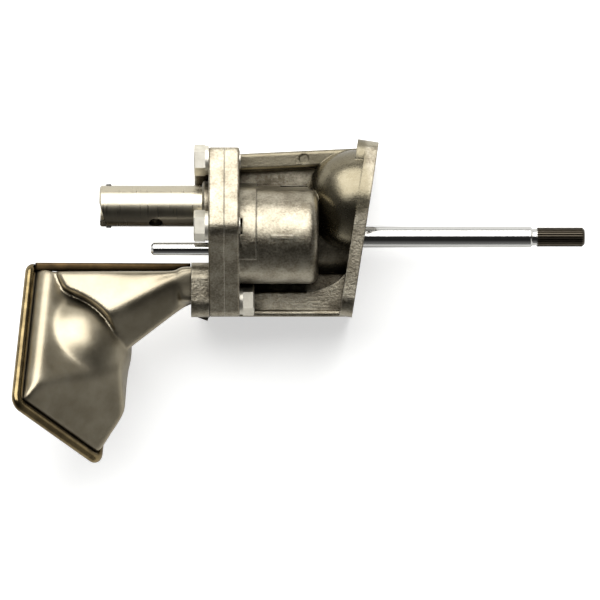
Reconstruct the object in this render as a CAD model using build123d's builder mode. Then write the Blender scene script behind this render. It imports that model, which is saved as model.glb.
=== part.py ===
from build123d import *
from math import atan, cos, pi, radians, sin, sqrt
import os

os.makedirs("parts", exist_ok=True)

# Engine oil pump with an inclined drive shaft, a relief valve and a pickup hood.
# X runs along the drive shaft towards its splined end, and Z is up from the bench.
# The origin is on the shaft axis, in the inclined mounting face. Lengths in mm.

# --- shaft and its spline
shaft_radius = 5.0
shaft_tail_x = -71.8
spline_start_x = 83.0
spline_end_x = 106.0
spline_radius = 4.6
spline_teeth = 24
spline_depth = 0.7
spline_groove_width = 0.7
spline_groove_over = 0.3
spline_chamfer = 1.2
shaft_chamfer = 0.6
neck_groove_depth = 0.9
neck_groove_width = 2.0

# --- gear pair
gear_teeth = 10
gear_module = 2.75
pressure_angle = 28.0
addendum_factor = 0.9
dedendum_factor = 1.2
gear_backlash = 0.30
gear_width = 30.0
gear_side_clearance = 0.12
gear_tip_clearance = 0.15
centre_distance = gear_teeth * gear_module
tip_radius = gear_module * (gear_teeth / 2 + addendum_factor)
root_radius = gear_module * (gear_teeth / 2 - dedendum_factor)
base_radius = gear_module * gear_teeth / 2 * cos(radians(pressure_angle))
pitch_radius = gear_module * gear_teeth / 2
flank_root_factor = 0.8
key_radius = 2.0
key_length = 7.0
key_depth = 2.6

# --- fits
running_fit = 0.04
bolt_clearance = 0.4
thread_clearance = 0.05
seat_clearance = 0.1
spring_gap = 0.05

# --- overshoots of cutting tools, and a size larger than the part
cut_over = 1.0
beyond_all = 300.0

# --- body and cover castings
joint_x = -66.3
body_flange_thickness = 7.0
cover_thickness = 7.5
lug_radius = 8.0
lug_trim_y = 42.0
bench_z = -30.5
cast_round = 1.0
chamber_wall = 6.1
chamber_end_x = -22.0
chamber_end_round = 4.5
collar_step = 1.2
collar_length = 8.0
collar_low_y = -11.0
neck_radius = 17.6
port_swelling = 4.0
shaft_hole_clearance = 0.6

# --- rails and webs between the two flanges
rail_sink = 2.0
rail_round = 1.6
top_rail_width = 16.0
top_rail_height = 8.0
top_rail_z = 12.0
top_rail_start_y = 35.4
top_rail_end_y = 38.4
top_rail_end_x = 2.0
dimple_radius = 2.4
dimple_depth = 1.5
dimple_x = -28.7
dimple_y = 37.2
low_rail_bottom_y = -38.2
low_rail_top_y = -26.0
low_rail_back_z = -10.0
low_rail_width = 22.0
low_rail_end_x = -9.0
ledge_height = 3.2
ledge_step = 3.0
ledge_round = 1.4
gusset_start_x = -27.5
gusset_top_y = -17.5
web_thickness = 6.0
top_web_z = 5.0
low_web_z = -6.0
pad_length = 11.5
pad_width = 1.9
pad_height = 0.7
pad_x = -38.7
pad_y = -0.4
bore_radius = tip_radius + gear_tip_clearance
chamber_radius = bore_radius + chamber_wall
floor_x = joint_x + gear_width + 2 * gear_side_clearance

# --- inclined mounting flange
face_lean = 8.8
flange_thickness = 6.0
flange_lug_radius = 9.5
flange_hole_radius = 4.25
spot_face_depth = 7.0
crown_boss_radius = 9.0
crown_boss_thickness = 10.0

# --- delivery passage
dome_radius = 24.0
dome_x = -4.0
dome_y = 17.8
dome_z = 16.0
outlet_radius = 7.0
port_radius = 6.0
port_y = 14.5
passage_overlap = 4.0

# --- bushes and idler pin
bush_wall = 2.0
floor_bush_length = 13.0
face_bush_length = 14.0
face_bush_inset = 2.0
cover_bush_length = 5.6
idler_pin_radius = 5.0
idler_bush_wall = 1.6
idler_pin_seat = 12.0

# --- M8 cover bolts
bolt_radius = 4.0
bolt_head_flats = 13.0
bolt_head_height = 5.3
bolt_head_chamfer = 0.5
bolt_tip_out = 0.5
bolt_hole_over = 2.5
washer_thickness = 1.6
washer_radius = 7.0
washer_hole_clearance = 0.3
washer_split = 1.2

# --- relief valve
relief_y = 14.4
relief_z = 33.0
relief_tube_radius = 9.8
relief_bore_radius = 7.0
relief_feed_radius = 4.5
relief_tube_end_x = -125.6
relief_boss_radius = 12.2
relief_boss_height = 3.2
relief_boss_round = 1.9
relief_seat_x = -92.0
relief_port_x = -98.9
relief_port_radius = 3.3
relief_port_angle = 57.0
relief_notch_length = 3.8
relief_notch_height = 15.3
tube_chamfer = 0.8
plunger_length = 16.0
plunger_wall = 1.8
plunger_crown = 3.0
plunger_seat_gap = 0.2
plunger_chamfer = 0.8
spring_room = 10.5
spring_seat_x = relief_seat_x - plunger_length - spring_room
spring_seat_thickness = 1.6
spring_seat_pilot = 2.0
spring_wire_radius = 0.6
spring_side_clearance = 0.5
spring_turns = 6
retainer_radius = 1.3
retainer_out = 0.6
retainer_x = spring_seat_x - spring_seat_thickness - retainer_radius

# --- pickup hood
mouth_centre = (-143.4, -60.4, 14.0)
mouth_turn = 19.6
mouth_dip = 32.8
mouth_roll = 39.7
mouth_length = 82.0
mouth_width = 66.0
mouth_corner = 7.5
hood_wall = 1.4
bead_radius = 2.3
bead_round_factor = 0.7
mouth_inset = 2.6
skirt_inset = 3.0
skirt_depth = 4.5
roof_depth = 17.0
roof_length = 60.0
roof_width = 38.0
roof_corner = 5.0
roof_shift = (-3.8, -9.4)
dome_hood_radius = 24.0
dome_hood_depth = 10.0
dome_hood_shift = (-4.0, 3.5)
dome_hood_latitude = 12.0
gauze_pitch = 5.2
gauze_hole = 3.6
gauze_thickness = 0.9
gauze_columns = int((mouth_length - 4 * bead_radius) / gauze_pitch) - 1
gauze_rows = int((mouth_width - 4 * bead_radius) / gauze_pitch) - 1
socket_y = -25.4
socket_z = 14.0
socket_height = 8.6
socket_size_y = 26.0
socket_size_z = 33.0
socket_corner = 8.0
socket_tab_low_y = -40.2
socket_tab_width = 6.0
socket_floor = 1.0
suction_radius = 7.5
suction_y = -20.0
arm_end_y = -23.0
arm_end_size_y = 17.0
arm_end_size_z = 29.0
arm_end_corner = 6.0
arm_depth = 4.6
arm_shift_x = -18.5
arm_shift_y = -0.5
arm_length = 34.0
arm_width = 55.0
arm_corner = 8.0
seam_y = -12.6
seam_start_x = -152.0
seam_reach = 9.0

# --- round boss on the cover
passage_boss = (30.5, 21.0)
passage_boss_radius = 9.8
passage_boss_height = 7.0
passage_boss_round = 2.4
relief_groove_depth = 2.0
relief_tube_seat = 3.0
relief_feed_depth = 6.0

# --- locating rod
rod_radius = 3.0
rod_y = -6.0
rod_z = 43.5
rod_end_x = -101.0
rod_seat = 5.0
rod_chamfer = 1.0

key_z = shaft_radius - key_depth
gear_mid_x = joint_x + gear_side_clearance + gear_width / 2
idler_phase = 180 / gear_teeth
cover_x = joint_x - cover_thickness
body_flange_x = joint_x + body_flange_thickness
idler_z = centre_distance
port_z = centre_distance / 2

# Bolt centres (Y, Z) round the joint of body and cover.
top_lug = (36.0, 40.0)
crest_lug = (4.8, 51.5)
low_lug = (-30.2, 22.0)
back_high_lug = (28.0, bench_z + lug_radius)
back_low_lug = (-30.2, bench_z + lug_radius)
cover_side_lugs = [top_lug, crest_lug, back_high_lug, back_low_lug]
plate_lugs = cover_side_lugs + [low_lug]
dowel_radius = 3.0
dowel_length = 9.0
pin_chamfer = 0.6
dowel_points = [(22.5, -9.0), (-23.5, -4.0)]

# Bolt centres (height up the face, Z) in the mounting flange.
flange_lugs = [
    (33.0, bench_z + flange_lug_radius),
    (-29.5, bench_z + flange_lug_radius),
    (-29.5, 30.0),
]
crown_boss = (36.5, 22.0)

lean = radians(face_lean)
face_plane = Plane(
    origin=(0, 0, 0),
    x_dir=(sin(lean), cos(lean), 0),
    z_dir=(cos(lean), -sin(lean), 0),
)


def across(x):
    """Plane square to the shaft at x, with local axes (Y, Z)."""
    return Plane.YZ.offset(x)


# Joint outline shared by the body flange and the cover plate.
with BuildSketch() as plate_outline:
    with Locations(*plate_lugs):
        Circle(lug_radius)
    with Locations((0, 0), (0, idler_z)):
        Circle(chamber_radius)
    make_hull()
    with Locations((lug_trim_y - beyond_all / 2, 0)):
        Rectangle(beyond_all, beyond_all, mode=Mode.INTERSECT)

# Straight-sided outline round both gear bores, with a swelling over the delivery port.
with BuildSketch() as chamber_outline:
    with Locations((0, 0), (0, idler_z)):
        Circle(chamber_radius)
    with Locations((port_y, port_z)):
        Circle(port_radius + port_swelling)
    make_hull()

# Outline of the mounting flange, in the inclined face.
with BuildSketch() as flange_outline:
    with Locations(*flange_lugs):
        Circle(flange_lug_radius)
    with Locations(crown_boss):
        Circle(crown_boss_radius)
    with Locations((dome_y, dome_z)):
        Circle(dome_radius)
    make_hull()

# ---------------------------------------------------------------- pump body
def rim_at(x):
    """Edges of the part under construction that lie in the plane square to the shaft at x."""
    return edges().filter_by_position(Axis.X, x - seat_clearance, x + seat_clearance)


with BuildPart() as pump_body:
    with BuildSketch(across(joint_x)):
        add(plate_outline.sketch)
    extrude(amount=body_flange_thickness)
    fillet(rim_at(body_flange_x), cast_round)
    with BuildSketch(across(joint_x)):
        add(chamber_outline.sketch)
    extrude(amount=chamber_end_x - joint_x)
    fillet(rim_at(chamber_end_x), chamber_end_round)
    # raised collar beside the flange, cut short below to clear the low bolt head
    with BuildSketch(across(body_flange_x)):
        add(chamber_outline.sketch)
        offset(amount=collar_step)
        with Locations((collar_low_y + beyond_all / 2, 0)):
            Rectangle(beyond_all, beyond_all, mode=Mode.INTERSECT)
    extrude(amount=collar_length)
    # narrow pad along the crown of the idler lobe
    with BuildSketch(Plane.XY.offset(idler_z)):
        with Locations((pad_x, pad_y)):
            SlotOverall(pad_length, pad_width)
    extrude(amount=chamber_radius + pad_height)
    # shaft neck
    with BuildSketch(across(chamber_end_x - chamber_end_round)):
        Circle(neck_radius)
    extrude(amount=chamber_end_round - chamber_end_x + flange_thickness)
    # bulb of the delivery passage
    with Locations(Location((dome_x, dome_y, dome_z), (0, 90, 0))):
        Sphere(dome_radius)
    # mounting flange and the thick boss at its crown
    with BuildSketch(face_plane):
        add(flange_outline.sketch)
    extrude(amount=-flange_thickness)
    with BuildSketch(face_plane):
        with Locations(crown_boss):
            Circle(crown_boss_radius)
    extrude(amount=-crown_boss_thickness)
    # top rail, which climbs from the body flange to the mounting flange
    with BuildSketch(across(body_flange_x - rail_sink)):
        with Locations((top_rail_start_y, top_rail_z)):
            RectangleRounded(top_rail_height, top_rail_width, rail_round)
    with BuildSketch(across(top_rail_end_x)):
        with Locations((top_rail_end_y, top_rail_z)):
            RectangleRounded(top_rail_height, top_rail_width, rail_round)
    loft()
    # low rail, with a ledge along its foot
    low_rail_length = low_rail_end_x - body_flange_x + rail_sink
    low_rail_height = low_rail_top_y - low_rail_bottom_y
    low_rail_middle_z = low_rail_back_z + low_rail_width / 2
    with BuildSketch(across(body_flange_x - rail_sink)):
        with Locations((low_rail_bottom_y + low_rail_height / 2, low_rail_middle_z)):
            RectangleRounded(low_rail_height, low_rail_width, rail_round)
        with Locations((low_rail_bottom_y + ledge_height / 2, low_rail_middle_z + ledge_step / 2)):
            RectangleRounded(ledge_height, low_rail_width + ledge_step, ledge_round)
    extrude(amount=low_rail_length)
    # gusset that flares from the neck down to the low rail
    with BuildSketch(Plane.XY.offset(low_rail_back_z)):
        with BuildLine():
            Line((gusset_start_x, low_rail_top_y), (gusset_start_x, low_rail_bottom_y + ledge_height))
            Line((gusset_start_x, low_rail_bottom_y + ledge_height),
                 (low_rail_end_x, low_rail_bottom_y + ledge_height))
            Line((low_rail_end_x, low_rail_bottom_y + ledge_height), (low_rail_end_x, gusset_top_y))
            TangentArc((gusset_start_x, low_rail_top_y), (low_rail_end_x, gusset_top_y), tangent=(1, 0))
        make_face()
    extrude(amount=low_rail_width)
    # recessed webs between the rails and the chamber
    web_start_x = body_flange_x - rail_sink
    with BuildSketch(Plane.XY.offset(top_web_z)):
        with Locations(((web_start_x + top_rail_end_x) / 2, top_rail_start_y / 2)):
            Rectangle(top_rail_end_x - web_start_x, top_rail_start_y)
    extrude(amount=web_thickness)
    with BuildSketch(Plane.XY.offset(low_web_z)):
        with Locations(((web_start_x + low_rail_end_x) / 2, low_rail_top_y / 2 - rail_round)):
            Rectangle(low_rail_end_x - web_start_x, -low_rail_top_y)
    extrude(amount=web_thickness)
    # cast dimple in the front of the top rail
    with BuildSketch(Plane.XY.offset(top_rail_z + top_rail_width / 2 - dimple_depth)):
        with Locations((dimple_x, dimple_y)):
            Circle(dimple_radius)
    extrude(amount=dimple_depth + cut_over, mode=Mode.SUBTRACT)
    # trim everything to the inclined mounting face
    with BuildSketch(face_plane):
        Rectangle(beyond_all, beyond_all)
    extrude(amount=dome_radius + dome_y, mode=Mode.SUBTRACT)
    # gear bores and the two port pockets
    with BuildSketch(across(joint_x)):
        with Locations((0, 0), (0, idler_z)):
            Circle(bore_radius)
    extrude(amount=floor_x - joint_x, mode=Mode.SUBTRACT)
    with BuildSketch(across(joint_x)):
        with Locations((port_y, port_z), (-port_y, port_z)):
            Circle(port_radius)
    extrude(amount=floor_x - joint_x, mode=Mode.SUBTRACT)
    # delivery passage from the upper port to the mounting face
    with BuildSketch(across(floor_x - passage_overlap)):
        with Locations((dome_y, dome_z)):
            Circle(outlet_radius)
    extrude(amount=-joint_x, mode=Mode.SUBTRACT)
    # shaft hole with a bush seat at each end
    with BuildSketch(across(joint_x)):
        Circle(shaft_radius + shaft_hole_clearance)
    extrude(amount=-joint_x + flange_thickness, mode=Mode.SUBTRACT)
    with BuildSketch(across(floor_x)):
        Circle(shaft_radius + bush_wall)
    extrude(amount=floor_bush_length, mode=Mode.SUBTRACT)
    with BuildSketch(across(-face_bush_inset - face_bush_length)):
        Circle(shaft_radius + bush_wall)
    extrude(amount=face_bush_length + face_bush_inset + shaft_radius, mode=Mode.SUBTRACT)
    # seat of the idler pin
    with BuildSketch(across(floor_x)):
        with Locations((0, idler_z)):
            Circle(idler_pin_radius)
    extrude(amount=idler_pin_seat, mode=Mode.SUBTRACT)
    # threaded and clearance holes round the joint
    with BuildSketch(across(joint_x - cut_over)):
        with Locations(*cover_side_lugs):
            Circle(bolt_radius + thread_clearance)
        with Locations(low_lug):
            Circle(bolt_radius + bolt_clearance)
    extrude(amount=body_flange_thickness + bolt_hole_over, mode=Mode.SUBTRACT)
    with BuildSketch(across(joint_x)):
        with Locations(*dowel_points):
            Circle(dowel_radius)
    extrude(amount=dowel_length / 2, mode=Mode.SUBTRACT)
    # mounting bolt holes
    with BuildSketch(face_plane.offset(cut_over)):
        with Locations(*flange_lugs):
            Circle(flange_hole_radius)
    extrude(amount=-flange_thickness - cut_over - spot_face_depth, mode=Mode.SUBTRACT)
pump_body.part.label = "pump_body"
export_step(pump_body.part, "parts/pump_body.step")

# ---------------------------------------------------------------- pump cover
mouth_axis = Vector(
    -cos(radians(mouth_dip)) * cos(radians(mouth_turn)),
    -cos(radians(mouth_dip)) * sin(radians(mouth_turn)),
    -sin(radians(mouth_dip)),
)
mouth_level = Vector(sin(radians(mouth_turn)), -cos(radians(mouth_turn)), 0)
mouth_rise = mouth_axis.cross(mouth_level)
mouth_edge = mouth_level * cos(radians(mouth_roll)) + mouth_rise * sin(radians(mouth_roll))
mouth_plane = Plane(origin=mouth_centre, x_dir=mouth_edge, z_dir=mouth_axis)
socket_x = cover_x - socket_height
socket_plane = Plane(origin=(socket_x, socket_y, socket_z), x_dir=(0, -1, 0), z_dir=(-1, 0, 0))
arm_end_plane = Plane(origin=(socket_x, arm_end_y, socket_z), x_dir=(0, -1, 0), z_dir=(-1, 0, 0))

with BuildPart() as pump_cover:
    with BuildSketch(across(cover_x)):
        add(plate_outline.sketch)
    extrude(amount=cover_thickness)
    fillet(rim_at(cover_x), cast_round)
    # boss of the relief valve, with its flared root
    with BuildSketch(across(cover_x)):
        with Locations((relief_y, relief_z)):
            Circle(relief_boss_radius)
    extrude(amount=-relief_boss_height)
    fillet(rim_at(cover_x - relief_boss_height), relief_boss_round)
    # round boss over the end of the delivery passage
    with BuildSketch(across(cover_x)):
        with Locations(passage_boss):
            Circle(passage_boss_radius)
    extrude(amount=-passage_boss_height)
    fillet(rim_at(cover_x - passage_boss_height), passage_boss_round)
    # socket that takes the root of the pickup hood
    with BuildSketch(socket_plane):
        RectangleRounded(socket_size_y, socket_size_z, socket_corner)
    extrude(amount=-socket_height)
    # pointed web under the socket
    socket_low_y = socket_y - socket_size_y / 2
    with BuildSketch(Plane.XY.offset(socket_z - socket_tab_width / 2)):
        Polygon(
            (cover_x + cast_round, socket_low_y + socket_corner / 2),
            (cover_x - cast_round, socket_tab_low_y),
            (socket_x, socket_low_y + cast_round),
            (socket_x, socket_low_y + socket_corner / 2),
            align=None,
        )
    extrude(amount=socket_tab_width)
    # suction passage: wide in the socket, round through the plate
    with BuildSketch(arm_end_plane):
        RectangleRounded(arm_end_size_y, arm_end_size_z, arm_end_corner)
    extrude(amount=-socket_height + socket_floor, mode=Mode.SUBTRACT)
    with BuildSketch(across(cover_x - 2 * socket_floor)):
        with Locations((suction_y, port_z)):
            Circle(suction_radius)
    extrude(amount=cover_thickness + 2 * socket_floor + cut_over, mode=Mode.SUBTRACT)
    # seat of the relief tube and the feed hole behind it
    with BuildSketch(across(cover_x - relief_boss_height - cut_over)):
        with Locations((relief_y, relief_z)):
            Circle(relief_tube_radius)
    extrude(amount=relief_boss_height + cut_over + relief_tube_seat, mode=Mode.SUBTRACT)
    with BuildSketch(across(cover_x)):
        with Locations((relief_y, relief_z)):
            Circle(relief_feed_radius)
    extrude(amount=relief_feed_depth, mode=Mode.SUBTRACT)
    # groove in the joint face from the delivery port to the relief feed
    with BuildSketch(across(joint_x - relief_groove_depth)):
        with Locations((port_y, port_z), (relief_y, relief_z)):
            Circle(relief_feed_radius)
        make_hull()
    extrude(amount=relief_groove_depth + cut_over, mode=Mode.SUBTRACT)
    # blind bush seat for the tail of the shaft, and a seat for the idler pin
    with BuildSketch(across(joint_x)):
        Circle(shaft_radius + bush_wall)
    extrude(amount=-cover_bush_length, mode=Mode.SUBTRACT)
    # bolt, dowel and rod holes
    with BuildSketch(across(cover_x - cut_over)):
        with Locations(*cover_side_lugs):
            Circle(bolt_radius + bolt_clearance)
        with Locations(low_lug):
            Circle(bolt_radius + thread_clearance)
    extrude(amount=cover_thickness + 2 * cut_over, mode=Mode.SUBTRACT)
    with BuildSketch(across(joint_x)):
        with Locations(*dowel_points):
            Circle(dowel_radius)
    extrude(amount=-dowel_length / 2, mode=Mode.SUBTRACT)
    with BuildSketch(across(cover_x)):
        with Locations((rod_y, rod_z)):
            Circle(rod_radius)
    extrude(amount=rod_seat, mode=Mode.SUBTRACT)
pump_cover.part.label = "pump_cover"
export_step(pump_cover.part, "parts/pump_cover.step")

# ---------------------------------------------------------------- drive shaft
with BuildPart() as drive_shaft:
    with BuildSketch(Plane.XY):
        with BuildLine():
            Polyline(
                (shaft_tail_x, 0),
                (shaft_tail_x, shaft_radius - shaft_chamfer),
                (shaft_tail_x + shaft_chamfer, shaft_radius),
                (spline_start_x - neck_groove_width - neck_groove_depth, shaft_radius),
                (spline_start_x - neck_groove_width, shaft_radius - neck_groove_depth),
                (spline_start_x, shaft_radius - neck_groove_depth),
                (spline_start_x, spline_radius),
                (spline_end_x - spline_chamfer, spline_radius),
                (spline_end_x, spline_radius - spline_chamfer),
                (spline_end_x, 0),
                close=True,
            )
        make_face()
    revolve(axis=Axis.X)
    # straight V grooves of the spline
    groove_tip = spline_depth + spline_groove_over
    groove_half = spline_groove_width / 2 * groove_tip / spline_depth
    with BuildSketch(across(spline_start_x - seat_clearance)):
        with PolarLocations(spline_radius - spline_depth, spline_teeth):
            Polygon((0, 0), (groove_tip, -groove_half), (groove_tip, groove_half), align=None)
    extrude(amount=spline_end_x - spline_start_x + cut_over, mode=Mode.SUBTRACT)
    # seat of the cross key
    with BuildSketch(Plane.XY.offset(key_z)):
        with Locations((gear_mid_x, 0)):
            Circle(key_radius)
    extrude(amount=key_length, mode=Mode.SUBTRACT)
drive_shaft.part.label = "drive_shaft"
export_step(drive_shaft.part, "parts/drive_shaft.step")


# ---------------------------------------------------------------- gears
def involute_angle(radius):
    """Polar angle that an involute of the base circle has swept at a radius."""
    rolled = sqrt(max(radius**2 / base_radius**2 - 1, 0))
    return rolled - atan(rolled)


half_tooth = (pi / gear_teeth - gear_backlash / pitch_radius) / 2
flank_steps = 5
flank_radii = [base_radius + (tip_radius - base_radius) * k / flank_steps for k in range(flank_steps + 1)]


def flank(side, turn):
    """Points of one tooth flank, base to tip, on the given side of the tooth."""
    points = []
    for radius in flank_radii:
        angle = turn + side * (half_tooth + involute_angle(pitch_radius) - involute_angle(radius))
        points.append((radius * cos(angle), radius * sin(angle)))
    return points


# One tooth, reaching inside the root circle.
with BuildSketch() as tooth:
    with BuildLine():
        right = flank(-1, 0)
        left = flank(1, 0)
        foot = flank_root_factor * root_radius / base_radius
        right_foot = (foot * right[0][0], foot * right[0][1])
        left_foot = (foot * left[0][0], foot * left[0][1])
        Spline(*right)
        Spline(*left)
        ThreePointArc(right[-1], (tip_radius, 0), left[-1])
        Polyline(right[0], right_foot, left_foot, left[0])
    make_face()

with BuildSketch() as gear_profile:
    Circle(root_radius)
    with PolarLocations(0, gear_teeth):
        add(tooth.sketch)

gear_x = joint_x + gear_side_clearance
with BuildPart() as drive_gear:
    with BuildSketch(across(gear_x)):
        add(gear_profile.sketch)
    extrude(amount=gear_width)
    with BuildSketch(across(gear_x)):
        Circle(shaft_radius)
    extrude(amount=gear_width, mode=Mode.SUBTRACT)
    with BuildSketch(Plane.XY.offset(key_z)):
        with Locations((gear_mid_x, 0)):
            Circle(key_radius)
    extrude(amount=key_length, mode=Mode.SUBTRACT)
drive_gear.part.label = "drive_gear"
export_step(drive_gear.part, "parts/drive_gear.step")

with BuildPart() as gear_key:
    with BuildSketch(Plane.XY.offset(key_z)):
        with Locations((gear_mid_x, 0)):
            Circle(key_radius)
    extrude(amount=key_length)
gear_key.part.label = "gear_key"
export_step(gear_key.part, "parts/gear_key.step")

# The idler is turned by half a tooth so that its gap meets a tooth of the drive gear.
with BuildPart() as idler_gear:
    with BuildSketch(across(gear_x)):
        with Locations(Location((0, idler_z), idler_phase)):
            add(gear_profile.sketch)
    extrude(amount=gear_width)
    with BuildSketch(across(gear_x)):
        with Locations((0, idler_z)):
            Circle(idler_pin_radius + idler_bush_wall)
    extrude(amount=gear_width, mode=Mode.SUBTRACT)
idler_gear.part.label = "idler_gear"
export_step(idler_gear.part, "parts/idler_gear.step")

# ---------------------------------------------------------------- bushes and idler pin
with BuildPart() as floor_bush:
    with BuildSketch(across(floor_x)):
        Circle(shaft_radius + bush_wall)
        Circle(shaft_radius + running_fit, mode=Mode.SUBTRACT)
    extrude(amount=floor_bush_length)
floor_bush.part.label = "floor_bush"
export_step(floor_bush.part, "parts/floor_bush.step")

with BuildPart() as face_bush:
    with BuildSketch(across(-face_bush_inset - face_bush_length)):
        Circle(shaft_radius + bush_wall)
        Circle(shaft_radius + running_fit, mode=Mode.SUBTRACT)
    extrude(amount=face_bush_length)
face_bush.part.label = "face_bush"
export_step(face_bush.part, "parts/face_bush.step")

with BuildPart() as cover_bush:
    with BuildSketch(across(joint_x)):
        Circle(shaft_radius + bush_wall)
        Circle(shaft_radius + running_fit, mode=Mode.SUBTRACT)
    extrude(amount=-cover_bush_length)
cover_bush.part.label = "cover_bush"
export_step(cover_bush.part, "parts/cover_bush.step")

with BuildPart() as idler_pin:
    with BuildSketch(across(joint_x)):
        with Locations((0, idler_z)):
            Circle(idler_pin_radius)
    extrude(amount=floor_x + idler_pin_seat - joint_x)
    chamfer(edges().sort_by(Axis.X)[0], pin_chamfer)
idler_pin.part.label = "idler_pin"
export_step(idler_pin.part, "parts/idler_pin.step")

with BuildPart() as idler_bush:
    with BuildSketch(across(gear_x)):
        with Locations((0, idler_z)):
            Circle(idler_pin_radius + idler_bush_wall)
            Circle(idler_pin_radius + running_fit, mode=Mode.SUBTRACT)
    extrude(amount=gear_width)
idler_bush.part.label = "idler_bush"
export_step(idler_bush.part, "parts/idler_bush.step")

# ---------------------------------------------------------------- fasteners
shank_length = cover_thickness + body_flange_thickness + bolt_tip_out
head_corner_radius = bolt_head_flats / 2 / cos(radians(30))


def bolt_solids(seat_x, points, direction):
    """Hex bolts under washers; direction is +1 where the shank runs towards +X."""
    with BuildPart() as bolts:
        with BuildSketch(across(seat_x - direction * washer_thickness)):
            with Locations(*points):
                RegularPolygon(head_corner_radius, 6)
        extrude(amount=-direction * bolt_head_height)
        chamfer(rim_at(seat_x - direction * (washer_thickness + bolt_head_height)), bolt_head_chamfer)
        with BuildSketch(across(seat_x - direction * washer_thickness)):
            with Locations(*points):
                Circle(bolt_radius)
        extrude(amount=direction * (shank_length + washer_thickness))
    return bolts.part


def washer_solids(seat_x, points, direction):
    """Split spring washers that lie on the casting."""
    with BuildPart() as washers:
        with BuildSketch(across(seat_x)):
            with Locations(*points):
                Circle(washer_radius)
                Circle(bolt_radius + washer_hole_clearance, mode=Mode.SUBTRACT)
                with Locations((0, -bolt_radius - washer_radius / 2)):
                    Rectangle(washer_split, washer_radius, mode=Mode.SUBTRACT)
        extrude(amount=-direction * washer_thickness)
    return washers.part


with BuildPart() as cover_bolts:
    add(bolt_solids(cover_x, cover_side_lugs, 1))
    add(bolt_solids(body_flange_x, [low_lug], -1))
cover_bolts.part.label = "cover_bolts"
export_step(cover_bolts.part, "parts/cover_bolts.step")

with BuildPart() as bolt_washers:
    add(washer_solids(cover_x, cover_side_lugs, 1))
    add(washer_solids(body_flange_x, [low_lug], -1))
bolt_washers.part.label = "bolt_washers"
export_step(bolt_washers.part, "parts/bolt_washers.step")

with BuildPart() as cover_dowels:
    with BuildSketch(across(joint_x - dowel_length / 2)):
        with Locations(*dowel_points):
            Circle(dowel_radius)
    extrude(amount=dowel_length)
cover_dowels.part.label = "cover_dowels"
export_step(cover_dowels.part, "parts/cover_dowels.step")

with BuildPart() as locating_rod:
    with BuildSketch(across(rod_end_x)):
        with Locations((rod_y, rod_z)):
            Circle(rod_radius)
    extrude(amount=cover_x + rod_seat - rod_end_x)
    chamfer(edges().sort_by(Axis.X)[0], rod_chamfer)
locating_rod.part.label = "locating_rod"
export_step(locating_rod.part, "parts/locating_rod.step")

# ---------------------------------------------------------------- relief valve
tube_root_x = cover_x + relief_tube_seat
port_plane = Plane(
    origin=(relief_port_x, relief_y, relief_z),
    x_dir=(1, 0, 0),
    z_dir=(0, -sin(radians(relief_port_angle)), cos(radians(relief_port_angle))),
)
with BuildPart() as relief_tube:
    with BuildSketch(across(relief_tube_end_x)):
        with Locations((relief_y, relief_z)):
            Circle(relief_tube_radius)
    extrude(amount=tube_root_x - relief_tube_end_x)
    chamfer(edges().sort_by(Axis.X)[0], tube_chamfer)
    with BuildSketch(across(relief_tube_end_x)):
        with Locations((relief_y, relief_z)):
            Circle(relief_bore_radius)
    extrude(amount=relief_seat_x - relief_tube_end_x, mode=Mode.SUBTRACT)
    with BuildSketch(across(relief_seat_x)):
        with Locations((relief_y, relief_z)):
            Circle(relief_feed_radius)
    extrude(amount=tube_root_x - relief_seat_x, mode=Mode.SUBTRACT)
    with BuildSketch(port_plane):
        Circle(relief_port_radius)
    extrude(amount=relief_tube_radius + cut_over, mode=Mode.SUBTRACT)
    # slanted notch in the open end
    notch_low_y = relief_y - relief_tube_radius - cut_over
    with BuildSketch(Plane.XY.offset(relief_z)):
        Polygon(
            (relief_tube_end_x - cut_over, notch_low_y),
            (relief_tube_end_x + relief_notch_length, notch_low_y),
            (relief_tube_end_x - cut_over, notch_low_y + relief_notch_height),
            align=None,
        )
    extrude(amount=relief_tube_radius + cut_over, mode=Mode.SUBTRACT)
    # cross hole of the retaining pin
    with BuildSketch(Plane.XZ.offset(-relief_y)):
        with Locations((retainer_x, relief_z)):
            Circle(retainer_radius)
    extrude(amount=relief_tube_radius + retainer_out, both=True, mode=Mode.SUBTRACT)
relief_tube.part.label = "relief_tube"
export_step(relief_tube.part, "parts/relief_tube.step")

plunger_x = relief_seat_x - plunger_seat_gap
with BuildPart() as relief_plunger:
    with BuildSketch(across(plunger_x)):
        with Locations((relief_y, relief_z)):
            Circle(relief_bore_radius - running_fit)
    extrude(amount=-plunger_length)
    with BuildSketch(across(plunger_x - plunger_crown)):
        with Locations((relief_y, relief_z)):
            Circle(relief_bore_radius - plunger_wall)
    extrude(amount=-plunger_length, mode=Mode.SUBTRACT)
    chamfer(edges().sort_by(Axis.X)[-1], plunger_chamfer)
relief_plunger.part.label = "relief_plunger"
export_step(relief_plunger.part, "parts/relief_plunger.step")

spring_start_x = spring_seat_x + spring_wire_radius + spring_gap
spring_length = plunger_x - plunger_crown - spring_wire_radius - spring_gap - spring_start_x
coil_radius = relief_bore_radius - plunger_wall - spring_wire_radius - spring_side_clearance
with BuildPart() as relief_spring:
    with BuildLine() as coil:
        Helix(
            pitch=spring_length / spring_turns,
            height=spring_length,
            radius=coil_radius,
            center=(spring_start_x, relief_y, relief_z),
            direction=(1, 0, 0),
        )
    with BuildSketch(Plane(origin=coil.line @ 0, z_dir=coil.line % 0)):
        Circle(spring_wire_radius)
    sweep(is_frenet=True)
relief_spring.part.label = "relief_spring"
export_step(relief_spring.part, "parts/relief_spring.step")

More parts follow.
